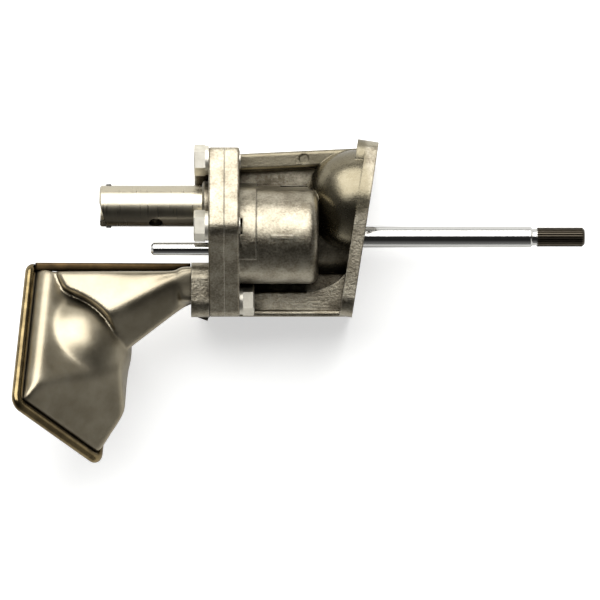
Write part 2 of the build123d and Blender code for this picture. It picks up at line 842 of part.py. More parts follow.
with BuildPart() as spring_seat:
    with BuildSketch(across(spring_seat_x)):
        with Locations((relief_y, relief_z)):
            Circle(relief_bore_radius - seat_clearance)
    extrude(amount=-spring_seat_thickness)
    with BuildSketch(across(spring_seat_x)):
        with Locations((relief_y, relief_z)):
            Circle(coil_radius - spring_wire_radius - spring_side_clearance)
    extrude(amount=spring_seat_pilot)
spring_seat.part.label = "spring_seat"
export_step(spring_seat.part, "parts/spring_seat.step")

with BuildPart() as retaining_pin:
    with BuildSketch(Plane.XZ.offset(-relief_y)):
        with Locations((retainer_x, relief_z)):
            Circle(retainer_radius)
    extrude(amount=relief_tube_radius + retainer_out, both=True)
retaining_pin.part.label = "retaining_pin"
export_step(retaining_pin.part, "parts/retaining_pin.step")

# ---------------------------------------------------------------- pickup hood


def mouth_section(depth, inset):
    """Rounded rectangle across the hood at a depth behind its mouth."""
    with BuildSketch(mouth_plane.offset(-depth)) as section:
        RectangleRounded(mouth_length - 2 * inset, mouth_width - 2 * inset, mouth_corner - mouth_inset)
    return section.sketch


def roof_section(depth, inset):
    """Flat roof of the hood's pan, set towards one side so that the pan's walls slope unequally."""
    with BuildSketch(mouth_plane.offset(-depth)) as section:
        with Locations(roof_shift):
            RectangleRounded(roof_length - 2 * inset, roof_width - 2 * inset, roof_corner - inset)
    return section.sketch


def arm_section(inset):
    """Wide end of the arm, inside the hood beside its upper corner."""
    with BuildSketch(mouth_plane.offset(-arm_depth)) as section:
        with Locations((arm_shift_x, arm_shift_y)):
            RectangleRounded(arm_length - 2 * inset, arm_width - 2 * inset, arm_corner - inset)
    return section.sketch


def arm_end_section(inset):
    """Narrow end of the arm, where it enters the cover socket."""
    with BuildSketch(arm_end_plane) as section:
        RectangleRounded(arm_end_size_y - 2 * inset, arm_end_size_z - 2 * inset, arm_end_corner - inset)
    return section.sketch


with BuildPart() as pickup_hood:
    loft(sections=[mouth_section(bead_radius, mouth_inset), mouth_section(skirt_depth, skirt_inset)])
    loft(sections=[mouth_section(skirt_depth, skirt_inset), roof_section(roof_depth, 0)], ruled=True)
    # ball-shaped dome pressed into the pan
    dome_centre = mouth_plane.from_local_coords(Vector(*dome_hood_shift, -dome_hood_depth))
    dome_place = Plane(origin=dome_centre, x_dir=mouth_edge, z_dir=mouth_axis)
    uncentred = (Align.NONE, Align.NONE, Align.NONE)
    with Locations(dome_place):
        Sphere(dome_hood_radius, arc_size2=dome_hood_latitude, align=uncentred)
    loft(sections=[arm_section(0), arm_end_section(0)])
    extrude(arm_end_section(0), amount=-socket_height + socket_floor)
    # folded seam along the upper side of the arm, from the bead to the socket
    with BuildSketch(Plane.XY.offset(socket_z - hood_wall)):
        Polygon(
            (seam_start_x, seam_y),
            (socket_x, seam_y),
            (socket_x, seam_y - seam_reach / 2),
            (seam_start_x + seam_reach, seam_y - seam_reach),
            (seam_start_x, seam_y - seam_reach),
            align=None,
        )
    extrude(amount=2 * hood_wall)
    # hollow inside, one sheet thickness smaller all round
    loft(sections=[mouth_section(bead_radius, mouth_inset + hood_wall),
                   mouth_section(skirt_depth, skirt_inset + hood_wall)], mode=Mode.SUBTRACT)
    loft(sections=[mouth_section(skirt_depth, skirt_inset + hood_wall),
                   roof_section(roof_depth - hood_wall, hood_wall)], ruled=True, mode=Mode.SUBTRACT)
    with Locations(dome_place):
        Sphere(dome_hood_radius - hood_wall, arc_size2=dome_hood_latitude, align=uncentred,
               mode=Mode.SUBTRACT)
    loft(sections=[arm_section(hood_wall), arm_end_section(hood_wall)], mode=Mode.SUBTRACT)
    extrude(arm_end_section(hood_wall), amount=-socket_height + socket_floor, mode=Mode.SUBTRACT)
pickup_hood.part.label = "pickup_hood"
export_step(pickup_hood.part, "parts/pickup_hood.step")

with BuildPart() as strainer_rim:
    with BuildSketch(mouth_plane.offset(-bead_radius)):
        RectangleRounded(mouth_length, mouth_width, mouth_corner)
    extrude(amount=2 * bead_radius)
    bead_sides = faces().filter_by(mouth_plane)
    fillet(bead_sides.edges(), bead_radius * bead_round_factor)
    with BuildSketch(mouth_plane.offset(-bead_radius)):
        RectangleRounded(mouth_length - 4 * bead_radius, mouth_width - 4 * bead_radius,
                         mouth_corner - 2 * bead_radius)
    extrude(amount=2 * bead_radius, mode=Mode.SUBTRACT)
strainer_rim.part.label = "strainer_rim"
export_step(strainer_rim.part, "parts/strainer_rim.step")

with BuildPart() as strainer_gauze:
    with BuildSketch(mouth_plane.offset(-gauze_thickness / 2)):
        RectangleRounded(mouth_length - 4 * bead_radius, mouth_width - 4 * bead_radius,
                         mouth_corner - 2 * bead_radius)
        with GridLocations(gauze_pitch, gauze_pitch, gauze_columns, gauze_rows):
            Rectangle(gauze_hole, gauze_hole, mode=Mode.SUBTRACT)
    extrude(amount=gauze_thickness)
strainer_gauze.part.label = "strainer_gauze"
export_step(strainer_gauze.part, "parts/strainer_gauze.step")
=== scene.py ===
import bmesh
import bpy
import numpy as np
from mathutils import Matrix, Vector


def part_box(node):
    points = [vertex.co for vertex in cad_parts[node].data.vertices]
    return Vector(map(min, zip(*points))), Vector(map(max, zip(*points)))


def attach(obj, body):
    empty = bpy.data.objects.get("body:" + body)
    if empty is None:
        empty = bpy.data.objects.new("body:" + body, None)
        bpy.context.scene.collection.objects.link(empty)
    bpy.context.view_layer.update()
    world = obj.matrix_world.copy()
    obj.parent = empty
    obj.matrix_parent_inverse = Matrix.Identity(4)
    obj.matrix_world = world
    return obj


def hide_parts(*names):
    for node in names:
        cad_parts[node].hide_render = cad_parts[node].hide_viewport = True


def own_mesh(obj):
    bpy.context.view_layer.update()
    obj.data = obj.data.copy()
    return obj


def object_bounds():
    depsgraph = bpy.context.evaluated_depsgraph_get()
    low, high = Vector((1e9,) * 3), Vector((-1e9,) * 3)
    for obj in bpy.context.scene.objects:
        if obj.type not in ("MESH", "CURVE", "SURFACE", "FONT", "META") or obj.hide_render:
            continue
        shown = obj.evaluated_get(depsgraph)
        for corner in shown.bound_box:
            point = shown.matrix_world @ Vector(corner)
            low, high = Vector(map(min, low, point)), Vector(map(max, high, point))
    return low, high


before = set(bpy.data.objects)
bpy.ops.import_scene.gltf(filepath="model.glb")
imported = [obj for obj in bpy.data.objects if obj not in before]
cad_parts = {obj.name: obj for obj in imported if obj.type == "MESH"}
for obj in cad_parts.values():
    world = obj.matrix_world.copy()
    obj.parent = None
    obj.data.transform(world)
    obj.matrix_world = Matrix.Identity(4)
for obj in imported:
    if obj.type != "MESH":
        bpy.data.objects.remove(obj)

cad_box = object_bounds()


# ---------------------------------------------------------------- pump body and cover
# Two gravity die castings in an aluminium alloy, shot blasted and left bare, and held together by five
# M8 bolts. The dome is smoother than the rest, and the dome and the top rail have painted shade: a darker
# colour.

dome_centre = (-0.0040, 0.0178, 0.0160)
dome_shade_and_gloss_radius = (0.0252, 0.0246)    # the painted shade and the smoother finish fade out between these two distances
rail_shade_foot = (0.0300, 0.0320)      # Y where the rail's painted shade starts and is full
rail_shade_left = (-0.0590, -0.0575)    # X likewise, just clear of the joint flange
rail_shade_right = (0.0020, 0.0)        # X likewise, just short of the mounting flange


def linear(code):
    """An sRGB hex colour as linear RGBA."""
    srgb = np.array([int(code[k:k + 2], 16) for k in (1, 3, 5)]) / 255
    value = np.where(srgb <= 0.04045, srgb / 12.92, ((srgb + 0.055) / 1.055) ** 2.4)
    return (*value.tolist(), 1.0)


def add(tree, kind, links=(), **settings):
    """Adds one node, sets its sockets and properties by name, and links its inputs."""
    node = tree.nodes.new(kind)
    for name, value in settings.items():
        label = name.replace("_", " ")
        socket = next((s for s in node.inputs if s.name.lower() == label.lower()), None)
        if socket is not None:
            socket.default_value = value
        else:
            setattr(node, name, value)
    for socket, source in links:
        tree.links.new(source, node.inputs[socket])
    return node


def new_material(name):
    """An empty node material and its tree, with a Principled shader already on the output."""
    made = bpy.data.materials.new(name)
    made.use_nodes = True
    tree = made.node_tree
    shader = tree.nodes["Principled BSDF"]
    return made, tree, shader


def cast_aluminium():
    """Shot-blasted casting skin that has run in hot oil: warm grey clouds about 10 mm wide, a sand grain
    drawn 1 mm wide, coarser than the real one, so that its bump shows, low swells of 4.5 mm, painted
    shade, dark where other surfaces are near and broken up by the clouds, edges rubbed bright, a smoother
    dome, and painted shade on the dome and the top rail."""
    made, tree, shader = new_material("cast_aluminium_shot_blasted")
    place = add(tree, "ShaderNodeTexCoord").outputs["Object"]
    cloud = add(tree, "ShaderNodeTexNoise", [("Vector", place)], Scale=1 / 0.010, Detail=6.0,
                Roughness=0.65)
    grain = add(tree, "ShaderNodeTexNoise", [("Vector", place)], Scale=1 / 0.0010, Detail=3.0,
                Roughness=0.6)
    lumps = add(tree, "ShaderNodeTexNoise", [("Vector", place)], Scale=1 / 0.0045, Detail=3.0,
                Roughness=0.5)
    speckle = add(tree, "ShaderNodeMath", [(0, grain.outputs["Fac"]), (2, cloud.outputs["Fac"])],
                  operation="MULTIPLY_ADD")
    speckle.inputs[1].default_value = 0.6
    level = add(tree, "ShaderNodeMath", [(0, speckle.outputs["Value"])], operation="SUBTRACT")
    level.inputs[1].default_value = 0.3
    tone = add(tree, "ShaderNodeValToRGB", [("Fac", level.outputs["Value"])])
    tone.color_ramp.elements[0].position = 0.36
    tone.color_ramp.elements[0].color = linear("#7B7363")
    tone.color_ramp.elements[1].position = 0.66
    tone.color_ramp.elements[1].color = linear("#ABA492")
    # Painted shade: the colour darkens where other surfaces are near, broken up by the clouds.
    near = add(tree, "ShaderNodeAmbientOcclusion", samples=8, Distance=0.008)
    nearness_and_clouds = add(tree, "ShaderNodeMath", [(0, near.outputs["AO"]), (1, cloud.outputs["Fac"])],
                operation="ADD")
    painted_shade_mask = add(tree, "ShaderNodeMapRange", [("Value", nearness_and_clouds.outputs["Value"])], From_Min=0.75,
                From_Max=1.25, To_Min=0.85, To_Max=0.0)
    shade_painted_tone = add(tree, "ShaderNodeMix", [(0, painted_shade_mask.outputs["Result"]), (6, tone.outputs["Color"])],
                 data_type="RGBA")
    shade_painted_tone.inputs[7].default_value = linear("#2C261D")
    soft_edge = add(tree, "ShaderNodeBevel", samples=4, Radius=0.0010)
    facing = add(tree, "ShaderNodeNewGeometry")
    turned = add(tree, "ShaderNodeVectorMath",
                 [(0, soft_edge.outputs["Normal"]), (1, facing.outputs["Normal"])],
                 operation="DOT_PRODUCT")
    rubbed = add(tree, "ShaderNodeMapRange", [("Value", turned.outputs["Value"])], From_Min=0.96,
                 From_Max=0.80, To_Min=0.0, To_Max=0.45)
    clean = add(tree, "ShaderNodeMath", [(0, rubbed.outputs["Result"]), (1, near.outputs["AO"])],
                operation="MULTIPLY")
    worn = add(tree, "ShaderNodeMix", [(0, clean.outputs["Value"]), (6, shade_painted_tone.outputs[2])],
               data_type="RGBA")
    worn.inputs[7].default_value = linear("#CFC9BC")
    # Painted shade: the dome and the top rail are painted darker. The dome is also made smoother and less
    # bumpy.
    reach = add(tree, "ShaderNodeVectorMath", [(0, place)], operation="DISTANCE")
    reach.inputs[1].default_value = dome_centre
    ball = add(tree, "ShaderNodeMapRange", [("Value", reach.outputs["Value"])],
               From_Min=dome_shade_and_gloss_radius[0], From_Max=dome_shade_and_gloss_radius[1], To_Min=0.0, To_Max=0.8)
    spot = add(tree, "ShaderNodeSeparateXYZ", [("Vector", place)])
    above = add(tree, "ShaderNodeMapRange", [("Value", spot.outputs["Y"])],
                From_Min=rail_shade_foot[0], From_Max=rail_shade_foot[1])
    past = add(tree, "ShaderNodeMapRange", [("Value", spot.outputs["X"])],
               From_Min=rail_shade_left[0], From_Max=rail_shade_left[1])
    before = add(tree, "ShaderNodeMapRange", [("Value", spot.outputs["X"])],
                 From_Min=rail_shade_right[0], From_Max=rail_shade_right[1], To_Min=0.0, To_Max=0.75)
    along = add(tree, "ShaderNodeMath", [(0, past.outputs["Result"]), (1, before.outputs["Result"])],
                operation="MULTIPLY")
    rail = add(tree, "ShaderNodeMath", [(0, along.outputs["Value"]), (1, above.outputs["Result"])],
               operation="MULTIPLY")
    painted_shade_amount = add(tree, "ShaderNodeMath", [(0, rail.outputs["Value"]), (1, ball.outputs["Result"])],
                 operation="MAXIMUM")
    shade_painted_colour = add(tree, "ShaderNodeMix", [(0, painted_shade_amount.outputs["Value"]), (6, worn.outputs[2])],
                 data_type="RGBA")
    shade_painted_colour.inputs[7].default_value = linear("#6E6754")
    sand = add(tree, "ShaderNodeMapRange", [("Value", grain.outputs["Fac"])], From_Min=0.3, From_Max=0.7,
                To_Min=0.28, To_Max=0.44)
    dull = add(tree, "ShaderNodeMix", [(0, ball.outputs["Result"]), (2, sand.outputs["Result"])], B=0.26)
    relief = add(tree, "ShaderNodeMix", [(0, ball.outputs["Result"]), (2, grain.outputs["Fac"])], B=0.5)
    swell = add(tree, "ShaderNodeBump",
                [("Height", lumps.outputs["Fac"]), ("Normal", soft_edge.outputs["Normal"])],
                Strength=0.2, Distance=0.0006)
    bump = add(tree, "ShaderNodeBump",
               [("Height", relief.outputs[0]), ("Normal", swell.outputs["Normal"])],
               Strength=0.7, Distance=0.0002)
    tree.links.new(shade_painted_colour.outputs[2], shader.inputs["Base Color"])
    tree.links.new(dull.outputs[0], shader.inputs["Roughness"])
    tree.links.new(bump.outputs["Normal"], shader.inputs["Normal"])
    shader.inputs["Metallic"].default_value = 1.0
    return made


def dress(node, material):
    """Gives a CAD node its finish."""
    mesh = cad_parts[node].data
    mesh.materials.clear()
    mesh.materials.append(material)


casting = cast_aluminium()
dress("pump_body", casting)
dress("pump_cover", casting)


# ---------------------------------------------------------------- drive shaft
# Medium carbon steel bar, ground and polished along its journal. The spline is rolled, and stays darker.
# The fixed pins, the key, the dowels, the plunger and the rod have the same ground finish.

spline_start = (0.0829, 0.0835)    # X where the polish ends and where the darker skin is full


def ground_steel():
    """Polished grinding finish: near mirror, with fine rings round the bar, drawn 0.6 mm wide, coarser
    than the real ones. Beyond the start of the spline it turns to dull, dark rolled steel."""
    made, tree, shader = new_material("ground_steel_polished")
    place = add(tree, "ShaderNodeTexCoord").outputs["Object"]
    spread = add(tree, "ShaderNodeMapping", [("Vector", place)])
    spread.inputs["Scale"].default_value = (1.0, 0.02, 0.02)
    rings = add(tree, "ShaderNodeTexNoise", [("Vector", spread.outputs["Vector"])], Scale=1 / 0.0006,
                Detail=2.0)
    rough = add(tree, "ShaderNodeMapRange", [("Value", rings.outputs["Fac"])], From_Min=0.3, From_Max=0.7,
                To_Min=0.07, To_Max=0.16)
    along = add(tree, "ShaderNodeSeparateXYZ", [("Vector", place)])
    spline = add(tree, "ShaderNodeMapRange", [("Value", along.outputs["X"])], From_Min=spline_start[0],
                 From_Max=spline_start[1])
    tone = add(tree, "ShaderNodeMix", [(0, spline.outputs["Result"])], data_type="RGBA")
    tone.inputs[6].default_value = linear("#C9C8C5")
    tone.inputs[7].default_value = linear("#4B453B")
    gloss = add(tree, "ShaderNodeMix", [(0, spline.outputs["Result"]), (2, rough.outputs["Result"])],
                B=0.38)
    tree.links.new(tone.outputs[2], shader.inputs["Base Color"])
    tree.links.new(gloss.outputs[0], shader.inputs["Roughness"])
    shader.inputs["Metallic"].default_value = 1.0
    return made


polished = ground_steel()
for node in ("drive_shaft", "idler_pin", "gear_key", "cover_dowels", "relief_plunger", "locating_rod"):
    dress(node, polished)


# ---------------------------------------------------------------- gears
# Pair of ten-tooth spur gears, hobbed and case hardened, which leaves a dull grey flank with darker
# patches of oil about 3 mm wide.

def mottled_metal(name, patch, detail, dark, pale, gloss):
    """Metal in two tones: noise whose patches have one size runs evenly from the dark colour to the pale
    one, at one roughness."""
    made, tree, shader = new_material(name)
    place = add(tree, "ShaderNodeTexCoord").outputs["Object"]
    patches = add(tree, "ShaderNodeTexNoise", [("Vector", place)], Scale=1 / patch, Detail=detail)
    tone = add(tree, "ShaderNodeValToRGB", [("Fac", patches.outputs["Fac"])])
    tone.color_ramp.elements[0].color = linear(dark)
    tone.color_ramp.elements[1].color = linear(pale)
    tree.links.new(tone.outputs["Color"], shader.inputs["Base Color"])
    shader.inputs["Metallic"].default_value = 1.0
    shader.inputs["Roughness"].default_value = gloss
    return made


hardened = mottled_metal("case_hardened_steel", 0.003, 3.0, "#6F6E6B", "#94928D", 0.3)
for node in ("drive_gear", "idler_gear"):
    dress(node, hardened)


# ---------------------------------------------------------------- bushes
# Oil-soaked sintered bronze, pressed into their seats: brown-gold, with open pores. The real pores are
# about 0.1 mm wide, and are drawn 0.8 mm wide so that they show.

bearing = mottled_metal("sintered_bronze", 0.0008, 2.0, "#7A5A33", "#B48B55", 0.42)
for node in ("floor_bush", "face_bush", "cover_bush", "idler_bush"):
    dress(node, bearing)


# ---------------------------------------------------------------- relief valve
# Turned steel tube pressed into the cover. The spring's seat is turned from the same bar, and is held
# by a hardened cross pin.

tube_low, tube_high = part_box("relief_tube")
tube_middle_y = (tube_low[1] + tube_high[1]) / 2
shade_full_y = tube_low[1] + 0.002    # the painted shade is full from here down


def turned_steel():
    """Fine turned steel: soft satin, slightly warm, with rings drawn 0.8 mm wide, coarser than the real
    ones, and painted shade that makes the tube darker along its lower side."""
    made, tree, shader = new_material("turned_steel_satin")
    place = add(tree, "ShaderNodeTexCoord").outputs["Object"]
    spread = add(tree, "ShaderNodeMapping", [("Vector", place)])
    spread.inputs["Scale"].default_value = (1.0, 0.05, 0.05)
    rings = add(tree, "ShaderNodeTexNoise", [("Vector", spread.outputs["Vector"])], Scale=1 / 0.0008,
                Detail=2.0)
    rough = add(tree, "ShaderNodeMapRange", [("Value", rings.outputs["Fac"])], From_Min=0.3, From_Max=0.7,
                To_Min=0.26, To_Max=0.36)
    upright = add(tree, "ShaderNodeSeparateXYZ", [("Vector", place)])
    # Painted shade: the tube darkens towards its lower side.
    lower_side_shade = add(tree, "ShaderNodeMapRange", [("Value", upright.outputs["Y"])], From_Min=tube_middle_y,
               From_Max=shade_full_y, To_Min=0.0, To_Max=0.9)
    tone = add(tree, "ShaderNodeMix", [(0, lower_side_shade.outputs["Result"])], data_type="RGBA")
    tone.inputs[6].default_value = linear("#B8B09C")
    tone.inputs[7].default_value = linear("#3B3429")
    tree.links.new(tone.outputs[2], shader.inputs["Base Color"])
    tree.links.new(rough.outputs["Result"], shader.inputs["Roughness"])
    shader.inputs["Metallic"].default_value = 1.0
    return made


satin = turned_steel()
for node in ("relief_tube", "spring_seat"):
    dress(node, satin)
dress("retaining_pin", hardened)


# ---------------------------------------------------------------- relief spring
# Compression spring of 1.2 mm oil-tempered wire, six turns, between the seat and the plunger's crown.
# The wire is blue-grey, with brown heat tints a few millimetres long. In the pump it gets 7 mm shorter
# as the plunger travels; here it is drawn once, at the length of the CAD spring's box.

mm = 0.001
spring_wire_radius = 0.6
spring_turns = 6


def new_piece(name, points, faces, material, ends=()):
    """A mesh object from points in mm, quad faces and the rings that close its ends, shaded smooth, with
    its faces turned outwards where it is closed."""
    mesh = bpy.data.meshes.new(name)
    mesh.from_pydata((points * mm).tolist(), [], faces.tolist() + [list(ring) for ring in ends])
    mesh.polygons.foreach_set("use_smooth", np.arange(len(mesh.polygons)) < len(faces))
    if len(ends):
        shell = bmesh.new()
        shell.from_mesh(mesh)
        bmesh.ops.recalc_face_normals(shell, faces=shell.faces)
        shell.to_mesh(mesh)
        shell.free()
    mesh.materials.append(material)
    mesh.update()
    made = bpy.data.objects.new(name, mesh)
    bpy.context.collection.objects.link(made)
    return made


def tube_faces(rows, ring):
    """Quads between the rings of a tube that is open at its ends, and its two end rings."""
    i, j = np.meshgrid(np.arange(rows - 1), np.arange(ring), indexing="ij")
    j2 = (j + 1) % ring
    quads = np.stack([i * ring + j, (i + 1) * ring + j, (i + 1) * ring + j2, i * ring + j2], axis=-1)
    first = np.arange(ring)
    return quads.reshape(-1, 4), [first.tolist(), ((rows - 1) * ring + first).tolist()]


def coil(low, high, wire, turns):
    """Points of a coil spring that fills a box: the wire's centre goes round a circle while it moves along
    X evenly, and each section is a circle in the plane through the spring's axis."""
    middle, radius = (low + high) / 2, (high[1] - low[1]) / 2 - wire
    angle = np.linspace(0, 2 * np.pi * turns, 30 * turns + 1)[:, None]
    section = np.radians(np.arange(0, 360, 36))[None]
    reach = radius + wire * np.cos(section)
    x = low[0] + wire + (high[0] - low[0] - 2 * wire) * angle / angle[-1] + wire * np.sin(section)
    points = np.stack([x, middle[1] + reach * np.cos(angle), middle[2] + reach * np.sin(angle)], axis=-1)
    return points.reshape(-1, 3), len(angle), section.size


spring_low, spring_high = (np.array(corner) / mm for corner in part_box("relief_spring"))
coil_points, rows, ring = coil(spring_low, spring_high, spring_wire_radius, spring_turns)
coil_faces, coil_ends = tube_faces(rows, ring)
tempered = mottled_metal("oil_tempered_wire", 0.004, 3.0, "#5C5A58", "#7F7464", 0.3)
spring = new_piece("coil_spring", coil_points, coil_faces, tempered, coil_ends)
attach(spring, "housing")
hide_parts("relief_spring")
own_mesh(spring)


# ---------------------------------------------------------------- bolts and washers
# M8 hex bolts and split spring washers. Their bright zinc plating has gone dull, slightly yellow and
# mottled, in patches about 2.5 mm wide.

plated = mottled_metal("zinc_plated_steel", 0.0025, 4.0, "#C4BEAE", "#EAE6DA", 0.46)
for node in ("cover_bolts", "bolt_washers"):
    dress(node, plated)


# ---------------------------------------------------------------- pickup hood
# Bell and arm drawn from 1.4 mm sheet steel. The bell is a flat-sided pan with a ball-shaped dome
# pressed into it, and the arm is a ridged duct that runs from the bell to the socket of the cover.

sheet_thickness = 1.4
mouth_centre = np.array([-143.4, -60.4, 14.0])
turn, dip, roll = np.radians((19.6, 32.8, 39.7))    # how the mouth's own frame stands in the pump's
mouth_in = np.array([np.cos(dip) * np.cos(turn), np.cos(dip) * np.sin(turn), np.sin(dip)])
mouth_level = np.array([np.sin(turn), -np.cos(turn), 0.0])
mouth_long = mouth_level * np.cos(roll) - np.cross(mouth_in, mouth_level) * np.sin(roll)
mouth_wide = -np.cross(mouth_in, mouth_long)

# Walls are planes, each given as its outward direction and a point on it, in mm. The pan's are along,
# across and into the mouth.
shoulder_wall = ((0, 1, 0), (0, 28.2, 0))
shoulder_slope = ((0, 14, 29), (0, 28.2, 8.4))
panel_wall = ((1, 0, 0), (36.0, 0, 0))
panel_slope = ((11, 0, 14), (36.0, 0, 3.5))
pan_foot = ((-15, 0, 4), (-38.4, 0, 0))
pan_back = ((0, -1, 0), (0, -28.8, 0))

# These are in the pump's frame.
pan_end = ((1, 0.03, 0.12), (-115.6, -70.0, 25.0))
ball_centre, ball_radius = (-137.2, -54.2, 9.6), 26.0
arm_top = ((0, 1, 0), (0, -16.4, 0))
ridge_upper = ((-0.155, 0.548, 1), (-82.4, -16.0, 28.5))
ridge_lower = ((0.38, -0.52, 0.89), (-85.8, -18.2, 29.2))
arm_end = ((-0.9, -0.3, 0.25), (-146.0, -16.8, 21.0))
arm_underside = ((0.598, -0.780, -0.12), (-82.4, -30.4, 16.0))
arm_back = ((0.35, 0, -1), (-82.4, -22.0, -0.5))
arm_mouth_side = ((-1, 0, -0.15), (-36.5, 0, 0))    # in the mouth's frame
arm_mouth_gap = 3.0
arm_right_x = -80.0

# The arm stays outside a cone round a line along Z, so that its edge curves round the bell. The cone
# has this radius at cone_z, and gets thinner by cone_taper for each mm below it.
cone_x, cone_y, cone_radius, cone_z, cone_taper = -158.9, -65.2, 44.9, 27.0, 0.3

# The stub is a box that enters the cover's socket.
stub_y, stub_half_y, stub_z, stub_half_z, stub_left_x, stub_right_x = -23.0, 8.2, 14.0, 14.2, -88.0, -70.0

# Radii of the rounded edges between walls.
bend = {"shoulder": 1.6, "panel": 0.8, "pan": 0.9, "bell": 1.0, "ridge": 2.2, "duct": 0.8, "stub": 1.3,
        "arm": 1.6, "whole": 0.5}

skin_low, skin_high, skin_step = np.array([-170.0, -110.0, -34.0]), np.array([-74.0, -8.0, 62.0]), 0.9
mouth_cut = -0.8    # the skin stops this far outside the mouth's plane, inside the bead
root_cut_x = -75.6  # and here, inside the socket


def soft_max(fields, radius):
    """The largest of several fields, with the edges between them rounded: radius times the logarithm of
    the summed exponentials of each field over the radius."""
    top = np.max(fields, axis=0)
    spread = np.sum([np.exp((field - top) / radius) for field in fields], axis=0)
    return top + radius * np.log(spread)


def plane(points, normal, through):
    """Signed distance from a plane: how far each point lies from one in the plane, along its normal."""
    normal = np.array(normal) / np.linalg.norm(normal)
    return (points - np.array(through)) @ normal


def hood_field(p):
    """Negative inside the hood, in mm. The pan is the space inside all its walls, and is joined to a ball;
    the duct is the space inside the arm's walls and outside the cone, and is joined to the stub; bell and
    arm are joined last. Every corner is a soft maximum, and every join a soft minimum."""
    q = p - mouth_centre
    along, wide, deep = q @ mouth_long, q @ mouth_wide, q @ mouth_in
    local = np.stack([along, wide, deep], axis=-1)
    shoulder = soft_max([plane(local, *shoulder_wall), plane(local, *shoulder_slope)], bend["shoulder"])
    panel = soft_max([plane(local, *panel_wall), plane(local, *panel_slope)], bend["panel"])
    pan = soft_max([shoulder, panel, plane(local, *pan_foot), plane(local, *pan_back),
                    plane(p, *pan_end)], bend["pan"])
    ball = np.linalg.norm(p - np.array(ball_centre), axis=-1) - ball_radius
    bell = -soft_max([-pan, -ball], bend["bell"])
    cone = (cone_radius - cone_taper * (cone_z - p[..., 2])
            - np.hypot(p[..., 0] - cone_x, p[..., 1] - cone_y))
    duct = soft_max([
        plane(p, *arm_top),
        soft_max([plane(p, *ridge_upper), plane(p, *ridge_lower)], bend["ridge"]),
        plane(p, *arm_end),
        cone,
        plane(p, *arm_underside),
        plane(p, *arm_back),
        plane(local, *arm_mouth_side),
        arm_mouth_gap - deep,
        p[..., 0] - arm_right_x,
    ], bend["duct"])
    stub = soft_max([np.abs(p[..., 1] - stub_y) - stub_half_y, np.abs(p[..., 2] - stub_z) - stub_half_z,
                     stub_left_x - p[..., 0], p[..., 0] - stub_right_x], bend["stub"])
    arm = -soft_max([-duct, -stub], bend["arm"])
    return -soft_max([-bell, -arm], bend["whole"])


def skin(field, low, high, step):
    """Surface where a field is zero. Each grid cell that the surface crosses gets one point, at the mean
    of its crossed edges, and four cells round a crossed edge make one face. The points are then moved
    along the field's slope until they lie in the surface."""
    count = np.ceil((np.array(high) - low) / step).astype(int) + 1
    axes = [low[k] + step * np.arange(count[k]) for k in range(3)]
    value = field(np.stack(np.meshgrid(*axes, indexing="ij"), axis=-1))
    inside = value < 0
    total = np.zeros([n - 1 for n in count] + [3])
    hits = np.zeros([n - 1 for n in count])
    crossed = []
    for k in range(3):
        first = [slice(None)] * 3
        first[k] = slice(0, -1)
        last = [slice(None)] * 3
        last[k] = slice(1, None)
        v0, v1 = value[tuple(first)], value[tuple(last)]
        cut = inside[tuple(first)] != inside[tuple(last)]
        crossed.append((cut, inside[tuple(first)]))
        share = np.where(cut, v0 / np.where(cut, v0 - v1, 1), 0)
        m, n = [j for j in range(3) if j != k]
        for dm in (0, 1):
            for dn in (0, 1):
                pick = [slice(None)] * 3
                pick[m] = slice(dm, count[m] - 1 + dm)
                pick[n] = slice(dn, count[n] - 1 + dn)
                pick = tuple(pick)
                hits += cut[pick]
                total[..., k] += share[pick] * cut[pick]
                total[..., m] += dm * cut[pick]
                total[..., n] += dn * cut[pick]
    used = hits > 0
    number = np.full(used.shape, -1)
    number[used] = np.arange(used.sum())
    points = low + step * (np.argwhere(used) + total[used] / hits[used][:, None])
    faces = []
    for k in range(3):
        cut, starts_in = crossed[k]
        m, n = (k + 1) % 3, (k + 2) % 3
        spots = np.argwhere(cut)
        spots = spots[(spots[:, m] > 0) & (spots[:, n] > 0) & (spots[:, m] < count[m] - 1)
                      & (spots[:, n] < count[n] - 1)]
        flip = starts_in[tuple(spots.T)]
        ring = []
        for dm, dn in ((1, 1), (0, 1), (0, 0), (1, 0)):
            cell = spots.copy()
            cell[:, m] -= dm
            cell[:, n] -= dn
            ring.append(number[tuple(cell.T)])
        ring = np.stack(ring, axis=1)
        ring[~flip] = ring[~flip][:, ::-1]
        faces.append(ring)
    small = step * 0.05
    passes = 4
    flattest = 0.1    # keeps a point still where the field hardly slopes
    for _ in range(passes):
        here = field(points)
        slope = np.stack([field(points + small * np.eye(3)[k]) - here for k in range(3)], axis=-1) / small
        points = points - slope * (here / np.maximum((slope ** 2).sum(axis=-1), flattest))[:, None]
    return points, np.concatenate(faces)


